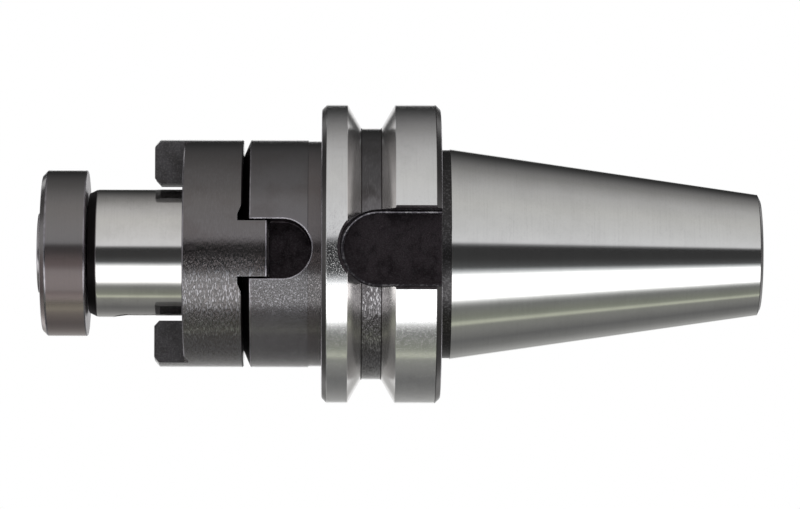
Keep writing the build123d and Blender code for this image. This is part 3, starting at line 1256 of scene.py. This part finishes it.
        drive_slot = Slot(
            closed_end=self.flange_front + self.drive_slot_wall,
            open_end=self.flange_rear + self.drive_slot_width,
            width=self.drive_slot_width,
            floor=self.gauge_radius + self.drive_slot_rise,
            corner=self.drive_slot_corner,
            rim=self.drive_slot_rim,
            surface=lambda station: self.flange_radius,
            wall=Finish.SLOT,
            fillet=Finish.FILLET,
            edge=Finish.SLOT,
        )
        tongue_slot = Slot(
            closed_end=self.flange_front - self.tongue_slot_wall,
            open_end=self.collar_front - self.tongue_slot_width,
            width=self.tongue_slot_width,
            floor=self.tongue_slot_floor,
            corner=self.tongue_slot_corner,
            rim=self.tongue_slot_rim,
            surface=collar_surface,
            wall=Finish.SLOT,
            fillet=Finish.SLOT,
            edge=Finish.SLOT_RIM,
        )
        keyway_start = self.pilot_front + self.keyway_setback
        keyway = Slot(
            closed_end=keyway_start,
            open_end=keyway_start + self.keyway_length,
            width=self.keyway_width,
            floor=self.pilot_radius - self.keyway_depth,
            corner=self.keyway_corner,
            rim=self.keyway_rim,
            surface=lambda station: self.pilot_radius,
            wall=Finish.FLANK,
            fillet=Finish.FLANK,
            edge=Finish.PILOT,
        )
        shape = Shape()
        for side in (1, -1):
            for slot in (drive_slot, tongue_slot):
                slot.add_cutter(shape, lambda along, across, height: (along, side * height, across))
        keyway.add_cutter(shape, lambda along, across, height: (along, across, -height))
        return shape

    def build(self) -> bpy.types.Object:
        """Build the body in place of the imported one.

        Returns:
            The dressed body.
        """
        stretches = outline_of([*self._pilot(), *self._collar(), *self._flange(), *self._shank()])
        body = Shape.turned(stretches).make("arbor_body_steel")
        cut(body, self._milled().make("milled"))
        shade_turned(body, stretches)
        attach(body, "arbor")
        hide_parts("arbor_body")
        return body


@dataclass
class DriveRing:
    """The loose ring on the pilot, with two dogs to the front and two tongues to the rear.

    Attributes:
        tongue_break: The length and depth of the bevel on a tongue's inner tip.
        prong_height: The distance from the axis to the inner side of a dog or a tongue.
        relief_depth: How deep the relief beside a dog or a tongue is sunk into the ring's face.
        relief_floor: The width of that relief's flat floor.
        relief_slant: The width of its slanting side.
        relief_overlap: How far what cuts it stands out of the face.
    """

    thickness: float = 12.5
    dog_length: float = 6.2
    dog_width: float = 12.0
    dog_bevel_length: float = 1.05
    dog_bevel_depth: float = 1.14
    dog_rounding: float = 0.2
    tongue_width: float = 11.6
    tongue_bevel: float = 0.8
    tongue_rounding: float = 0.15
    tongue_tip_rounding: float = 0.3
    tongue_break: Flat = (0.3, 0.3)
    prong_height: float = 14.4
    bore_radius: float = 13.58
    bore_bevel: float = 0.5
    rim_break: float = 0.3
    rim_rounding: float = 0.08
    relief_depth: float = 1.0
    relief_floor: float = 1.4
    relief_slant: float = 2.4
    relief_overlap: float = 0.02

    def __post_init__(self) -> None:
        """Work the stations out from the frame and the driving sizes."""
        low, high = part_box("drive_ring")
        self.radius = high.z / MM
        self.dog_tip = low.x / MM
        self.tongue_tip = high.x / MM
        self.front = self.dog_tip + self.dog_length
        self.rear = self.front + self.thickness

    def _blank(self) -> list[Stretch]:
        """Outline the turned blank, from the dogs' tips to the tongues' tips.

        Returns:
            The closed outline's stretches.
        """
        dog_radius = self.radius - self.dog_bevel_depth
        dog_bevel_end = self.dog_tip + self.dog_bevel_length
        tongue_radius = self.radius - self.tongue_bevel
        tongue_bevel_start = self.tongue_tip - self.tongue_bevel
        # The tongues' roundings: a painted highlight over abraded bare metal
        worn_and_highlit = Finish.SLOT_RIM
        corners = [
            Corner(self.dog_tip, self.bore_radius, Finish.RING),
            Corner(self.dog_tip, dog_radius, Finish.RING, self.dog_rounding),
            Corner(dog_bevel_end, self.radius, Finish.RING, self.dog_rounding),
            Corner(tongue_bevel_start, self.radius, Finish.RING, self.tongue_rounding, worn_and_highlit),
            Corner(self.tongue_tip, tongue_radius, Finish.RING, self.tongue_tip_rounding, worn_and_highlit),
            Corner(self.tongue_tip, self.bore_radius, Finish.BORE),
        ]
        return outline_of(corners, closed=True)

    def _waste(self, face: float, outwards: float) -> list[Stretch]:
        """Outline what is milled off beyond a face, which bevels the ring's rim and bore too.

        Args:
            face: The station of the face.
            outwards: The way that the face looks along X, 1 or -1.

        Returns:
            The outline of what goes.
        """
        end = face + outwards * (self.dog_length + CLEAR)
        reach = self.radius + CLEAR
        bore_end = face - outwards * (self.bore_bevel + CLEAR)
        # Painted highlight over abraded bare metal on the front rim's rounding; painted shade on the rear
        # rim's, beside the collar
        edge = Finish.RIM if outwards < 0 else Finish.BLACK_AND_GAP_SHADE
        corners = [
            Corner(end, 0, Finish.RING),
            Corner(end, reach, Finish.RING),
            Corner(face - outwards * (self.rim_break + CLEAR), reach, edge),
            Corner(face, self.radius - self.rim_break, Finish.RING, self.rim_rounding, edge),
            Corner(face, self.bore_radius + self.bore_bevel, edge),
            Corner(bore_end, self.bore_radius - CLEAR, Finish.RING),
            Corner(bore_end, 0, Finish.RING),
        ]
        return outline_of(corners)

    def _prongs(self, face: float, tip: float, width: float, bevel: Flat, upright: bool) -> Shape:
        """Shape two bars that stand where the milling leaves the prongs.

        Args:
            face: The station of the face that the prongs stand on.
            tip: The station of their tips.
            width: Their width.
            bevel: The length and depth of the bevel on their inner tips.
            upright: Whether they stand at the ring's top and bottom, or at its front and back.

        Returns:
            The bars, which reach beyond the ring where nothing bounds them.
        """
        outwards = math.copysign(1.0, tip - face)
        root, far = face - outwards * 2 * CLEAR, tip + outwards * 2 * CLEAR
        length, depth = bevel
        low, top = self.prong_height, self.radius + 2 * CLEAR
        outline = [
            (root, low),
            (tip - outwards * length, low),
            (tip + outwards * length, low + 2 * depth),
            (far, low + 2 * depth),
            (far, top),
            (root, top),
        ]
        shape = Shape()
        for side in (1, -1):
            bar(shape, [(station, side * out) for station, out in outline], width, upright, Finish.DOG)
        return shape

    def _reliefs(self, face: float, outwards: float, width: float, upright: bool) -> Shape:
        """Shape the reliefs that run along both flanks of the prongs, sunk into a face.

        Args:
            face: The station of the face.
            outwards: The way that the face looks along X, 1 or -1.
            width: The prongs' width.
            upright: Whether the prongs stand at the ring's top and bottom, or at its front and back.

        Returns:
            What the reliefs remove.
        """
        floor = face - outwards * self.relief_depth
        above = face + outwards * self.relief_overlap
        base, flat = width / 2, width / 2 + self.relief_floor
        brim = flat + self.relief_slant
        sunk = [(above, base), (floor, base), (floor, flat), (face, brim), (above, brim)]
        length = 2 * (self.radius + CLEAR)
        shape = Shape()
        for flank in (1, -1):
            bar(shape, [(station, flank * out) for station, out in sunk], length, not upright, Finish.RING)
        return shape

    def build(self) -> bpy.types.Object:
        """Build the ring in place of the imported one.

        Returns:
            The dressed ring.
        """
        outlines = self._blank()
        ring = Shape.turned(outlines, closed=True).make("drive_ring_steel")
        dog_bevel = (self.dog_bevel_length, self.dog_bevel_depth)
        for face, tip, width, bevel, upright in (
            (self.front, self.dog_tip, self.dog_width, dog_bevel, True),
            (self.rear, self.tongue_tip, self.tongue_width, self.tongue_break, False),
        ):
            outwards = math.copysign(1.0, tip - face)
            outline = self._waste(face, outwards)
            waste = Shape.turned(outline).make("waste")
            cut(waste, self._prongs(face, tip, width, bevel, upright).make("prongs"))
            cut(ring, waste)
            cut(ring, self._reliefs(face, outwards, width, upright).make("reliefs"))
            outlines += [reversed_stretch(stretch) for stretch in outline]
            outlines += outline
        shade_turned(ring, outlines)
        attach(ring, "ring")
        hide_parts("drive_ring")
        return ring


def reversed_stretch(stretch: Stretch) -> Stretch:
    """Return a cutter's stretch as the body's surface that it leaves."""
    normals = [(-n[0], -n[1]) for n in (stretch.start_normal, stretch.stop_normal)]
    return Stretch(stretch.start, stretch.stop, normals[0], normals[1], stretch.finish)


@dataclass
class RetainingScrew:
    """The screw in the pilot's end: a wide flat head, with a boss round its hexagon socket, and a shank.

    Attributes:
        thread: The pitch of the shank's thread, and how far it stands out.
        plain_length: The length of the shank under the head that has no thread.
        socket_width: The hexagon's width across its flats.
    """

    head_thickness: float = 9.5
    head_bevel: float = 1.1
    head_rounding: float = 0.25
    head_rear_break: float = 0.35
    boss_radius: float = 8.45
    boss_height: float = 1.0
    boss_break: float = 0.35
    boss_root: float = 0.2
    shank_radius: float = 5.05
    shank_root: float = 0.2
    tip_bevel: float = 1.0
    tip_rounding: float = 0.1
    thread: tuple[float, float] = (1.75, 0.88)
    plain_length: float = 1.5
    socket_width: float = 10.0
    socket_depth: float = 7.0
    socket_mouth: float = 0.2

    def __post_init__(self) -> None:
        """Work the stations out from the frame and the driving sizes."""
        low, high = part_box("retaining_screw")
        self.boss_front = low.x / MM
        self.head_front = self.boss_front + self.boss_height
        self.head_rear = self.head_front + self.head_thickness
        self.head_radius = high.z / MM
        self.tip = high.x / MM

    def _corners(self) -> list[Corner]:
        """Outline the screw.

        Returns:
            The corners from the boss's front to the tip.
        """
        front, face = Finish.SCREW_FRONT, Finish.SCREW_FACE
        head, shank, bevel = self.head_radius, self.shank_radius, self.head_bevel
        thread_start = self.head_rear + self.plain_length
        return [
            Corner(self.boss_front, 0, front),
            Corner(self.boss_front, self.boss_radius, front, self.boss_break, face),
            Corner(self.head_front, self.boss_radius, front, self.boss_root),
            Corner(self.head_front, head - bevel, Finish.SCREW, self.head_rounding, Finish.RIM),
            Corner(self.head_front + bevel, head, Finish.SCREW, self.head_rounding, Finish.RIM),
            Corner(self.head_rear, head, face, self.head_rear_break, Finish.RIM),
            Corner(self.head_rear, shank, face, self.shank_root),
            Corner(thread_start, shank, Finish.THREAD, thread=self.thread),
            Corner(self.tip - self.tip_bevel, shank, Finish.THREAD),
            Corner(self.tip, shank - self.tip_bevel, Finish.THREAD, self.tip_rounding),
            Corner(self.tip, 0, Finish.THREAD),
        ]

    @property
    def socket_reach(self) -> float:
        """Return the distance from the axis to the socket's corners."""
        return self.socket_width / 2 / math.cos(math.pi / 6)

    def _socket(self) -> Shape:
        """Shape what the hexagon socket removes.

        Returns:
            A hexagonal prism.
        """
        shape = Shape()
        hexagon = []
        for number in range(6):
            angle = math.pi / 3 * number + math.pi / 2
            across, up = self.socket_reach * math.cos(angle), self.socket_reach * math.sin(angle)
            hexagon.append((self.boss_front - CLEAR, across, up))
        prism(shape, hexagon, (self.socket_depth + CLEAR, 0, 0), Finish.SLOT)
        return shape

    def _socket_mouth(self) -> Shape:
        """Shape what the bevel at the socket's mouth removes.

        Returns:
            A cone.
        """
        radius = self.socket_reach + self.socket_mouth
        corners = [
            Corner(self.boss_front - CLEAR, 0, Finish.RIM),
            Corner(self.boss_front - CLEAR, radius + CLEAR, Finish.RIM),
            Corner(self.boss_front + radius, 0, Finish.RIM),
        ]
        return Shape.turned(outline_of(corners))

    def build(self) -> bpy.types.Object:
        """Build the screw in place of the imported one.

        Returns:
            The dressed screw.
        """
        stretches = outline_of(self._corners())
        screw = Shape.turned(stretches).make("retaining_screw_steel")
        cut(screw, self._socket().make("socket"))
        cut(screw, self._socket_mouth().make("socket_mouth"))
        shade_turned(screw, stretches)
        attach(screw, "screw")
        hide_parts("retaining_screw")
        return screw


@dataclass(frozen=True)
class Band:
    """A stop in the studio's light, at an angle in degrees up from the camera's side, round the axis."""

    angle: float
    colour: Colour


@dataclass
class Studio:
    """The light, the floor and the camera.

    Attributes:
        distance: The camera's distance from the axis.
        elevation: The camera's angle above the level of the axis, below 0 because it stands a little lower.
        foot: The station that the camera stands opposite.
        scale: How many pixels of the picture a millimetre takes, at the axis.
        frame_width: The picture's width in pixels.
        frame_height: The picture's height in pixels.
        gauge_column: The picture's column of the gauge plane.
        axis_row: The picture's row of the axis, at the camera's foot.
        lean: The angle that the axis leans down to the right in the picture.
        sensor: The width of the camera's sensor.
        far_clip: How far the camera sees, in metres.
        floor_radius: The floor's radius, in metres.
        floor_colour: The floor's colour.
        floor_lift: How bright the floor glows to the camera's eye, which brings it close to white.
        end_limits: Between which shares of a ray's run along X the bands give way to the light of the ends.
        end_below: The light of the ends, from below.
        end_above: The light of the ends, from above.
        side_behind: Between which shares of a ray's run away from the camera the white surrounding shows.
        side_along: Between which shares of its run along X it shows.
        gap_angles: How far from straight behind the arbor a reflection sees only the white surrounding.
    """

    distance: float = 1060.0
    elevation: float = math.radians(-2.7)
    foot: float = -22.0
    scale: float = 4.733
    frame_width: float = 800.0
    frame_height: float = 509.0
    gauge_column: float = 448.9
    axis_row: float = 253.9
    lean: float = 0.0028
    sensor: float = 36.0
    far_clip: float = 20.0
    floor_radius: float = 4.0
    floor_colour: Colour = (0.8, 0.8, 0.8)
    floor_lift: float = 0.6
    end_limits: Flat = (0.88, 0.96)
    end_below: Colour = (0.3, 0.3, 0.295)
    end_above: Colour = (0.95, 0.95, 0.96)
    side_behind: Flat = (0.62, 0.75)
    side_along: Flat = (0.35, 0.5)
    gap_angles: Flat = (math.radians(18), math.radians(12))

    def bands(self) -> list[Band]:
        """Set the light round the arbor.

        Returns:
            The bands' stops, from behind the arbor downwards, past the camera's side and over the top.
        """
        return [
            Band(-180, (0.45, 0.45, 0.44)),
            Band(-152, (0.44, 0.44, 0.43)),
            Band(-130, (0.25, 0.25, 0.245)),
            Band(-114, (0.18, 0.18, 0.18)),
            Band(-98, (0.27, 0.27, 0.26)),
            Band(-88.5, (0.31, 0.315, 0.29)),
            Band(-85.5, (0.66, 0.68, 0.56)),
            Band(-83.5, (0.66, 0.68, 0.56)),
            Band(-80, (0.34, 0.36, 0.3)),
            Band(-75, (0.28, 0.29, 0.25)),
            Band(-64, (0.25, 0.255, 0.245)),
            Band(-60, (0.36, 0.365, 0.355)),
            Band(-55.7, (0.84, 0.85, 0.84)),
            Band(-52, (2.2, 2.2, 2.2)),
            Band(-24.5, (2.2, 2.21, 2.23)),
            Band(-21, (0.95, 0.97, 0.99)),
            Band(-18, (0.42, 0.44, 0.45)),
            Band(-15.5, (0.11, 0.113, 0.115)),
            Band(-6, (0.058, 0.058, 0.059)),
            Band(9, (0.045, 0.045, 0.046)),
            Band(11.8, (0.26, 0.26, 0.27)),
            Band(13.6, (0.9, 0.9, 0.92)),
            Band(30, (0.81, 0.81, 0.815)),
            Band(60, (0.72, 0.715, 0.7)),
            Band(85, (0.58, 0.575, 0.57)),
            Band(100, (0.43, 0.425, 0.42)),
            Band(110, (0.32, 0.315, 0.31)),
            Band(120, (0.24, 0.235, 0.235)),
            Band(130, (0.15, 0.148, 0.148)),
            Band(140, (0.08, 0.08, 0.08)),
            Band(150, (0.04, 0.04, 0.04)),
            Band(180, (0.03, 0.03, 0.03)),
        ]

    def light(self) -> None:
        """Light the scene by bands that run along the arbor, and show the camera a white surrounding."""
        world = bpy.data.worlds.new("studio")
        world.use_nodes = True
        bpy.context.scene.world = world
        tree = Tree(world.node_tree)
        direction = tree.node("ShaderNodeTexCoord").outputs["Generated"]
        parts = tree.node("ShaderNodeSeparateXYZ", sockets={0: direction})
        x, y, z = (Value(tree, socket) for socket in parts.outputs)
        towards = math.sin(self.elevation) * z - math.cos(self.elevation) * y
        upwards = math.cos(self.elevation) * z + math.sin(self.elevation) * y
        turn = 1 / math.tau * tree.math("ARCTAN2", upwards, towards) + 0.5
        stops = [((band.angle + 180) / 360, band.colour) for band in self.bands()]
        bands = tree.node("ShaderNodeValToRGB", {"stops": stops}, {"Fac": turn}).outputs["Color"]
        ends = tree.mix(0.5 + 0.5 * upwards, self.end_below, self.end_above)
        colour = tree.mix(abs(x).between(*self.end_limits), bands, ends)
        away = -1 * towards
        beside = away.between(*self.side_behind) * abs(x).between(*self.side_along)
        colour = tree.mix(beside, colour, WHITE)
        surrounding = tree.node("ShaderNodeBackground", sockets={"Color": (*WHITE, 1), "Strength": 1.0})
        lights = tree.node("ShaderNodeBackground", sockets={"Color": colour, "Strength": 1.0})
        path = tree.node("ShaderNodeLightPath")
        behind = away.between(*(math.cos(angle) for angle in self.gap_angles))
        reflected = behind * Value(tree, path.outputs["Is Glossy Ray"])
        seen = Value(tree, path.outputs["Is Camera Ray"])
        seen_through = Value(tree, path.outputs["Is Transmission Ray"])
        shares = {0: seen + seen_through + reflected, 1: lights.outputs[0], 2: surrounding.outputs[0]}
        shown = tree.node("ShaderNodeMixShader", sockets=shares)
        tree.node("ShaderNodeOutputWorld", sockets={"Surface": shown.outputs[0]})

    def lay_floor(self) -> None:
        """Lay a pale floor under the flange, which keeps the arbor's shadow and is clear seen from below."""
        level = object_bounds()[0][2]
        mesh = bpy.data.meshes.new("floor")
        work = bmesh.new()
        bmesh.ops.create_circle(work, cap_ends=True, radius=self.floor_radius, segments=FLOOR_SEGMENTS)
        for face in work.faces:
            face.normal_update()
            if face.normal.z < 0:
                face.normal_flip()
        work.to_mesh(mesh)
        work.free()
        mesh.materials.append(self._floor_material())
        floor = bpy.data.objects.new("floor", mesh)
        bpy.context.scene.collection.objects.link(floor)
        floor.location.z = level
        floor.visible_glossy = False
        floor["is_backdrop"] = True

    def _floor_material(self) -> bpy.types.Material:
        """Build the floor's material.

        Returns:
            The material, which is pale seen from above and clear seen from below.
        """
        material = bpy.data.materials.new("pale_floor")
        material.use_nodes = True
        tree = Tree(material.node_tree)
        matt = tree.node("ShaderNodeBsdfDiffuse", sockets={"Color": (*self.floor_colour, 1)})
        path = tree.node("ShaderNodeLightPath")
        lift = self.floor_lift * Value(tree, path.outputs["Is Camera Ray"])
        glow = tree.node("ShaderNodeEmission", sockets={"Color": (*WHITE, 1), "Strength": lift})
        top = tree.node("ShaderNodeAddShader", sockets={0: matt.outputs[0], 1: glow.outputs[0]})
        clear = tree.node("ShaderNodeBsdfTransparent")
        underneath = tree.node("ShaderNodeNewGeometry").outputs["Backfacing"]
        sides = {0: underneath, 1: top.outputs[0], 2: clear.outputs[0]}
        both = tree.node("ShaderNodeMixShader", sockets=sides)
        tree.node("ShaderNodeOutputMaterial", sockets={"Surface": both.outputs[0]})
        return material

    def set_camera(self) -> None:
        """Set the camera where the photograph was taken from: square to the axis, far away, a little low."""
        camera = bpy.data.objects.new("camera", bpy.data.cameras.new("camera"))
        bpy.context.scene.collection.objects.link(camera)
        back, up = math.cos(self.elevation), math.sin(self.elevation)
        camera.location = (self.foot * MM, -self.distance * back * MM, self.distance * up * MM)
        camera.rotation_euler = (math.pi / 2 - self.elevation, -self.lean, 0)
        foot_column = self.gauge_column + self.scale * self.foot
        camera.data.sensor_width = self.sensor
        camera.data.lens = self.sensor * self.scale * self.distance / self.frame_width
        camera.data.shift_x = (self.frame_width / 2 - foot_column) / self.frame_width
        camera.data.shift_y = (self.axis_row - self.frame_height / 2) / self.frame_width
        camera.data.clip_end = self.far_clip
        bpy.context.scene.camera = camera


def main() -> None:
    """Build the studio and each piece in order."""
    logging.basicConfig(level=logging.INFO, format="%(name)s: %(message)s")
    bpy.context.scene.view_settings.view_transform = "Standard"
    studio = Studio()
    studio.set_camera()
    studio.light()
    studio.lay_floor()
    for maker in (ArborBody(), DriveRing(), RetainingScrew()):
        piece = maker.build()
        log.info("%s: %d faces", piece.name, len(piece.data.polygons))


if __name__ == "__main__":
    main()
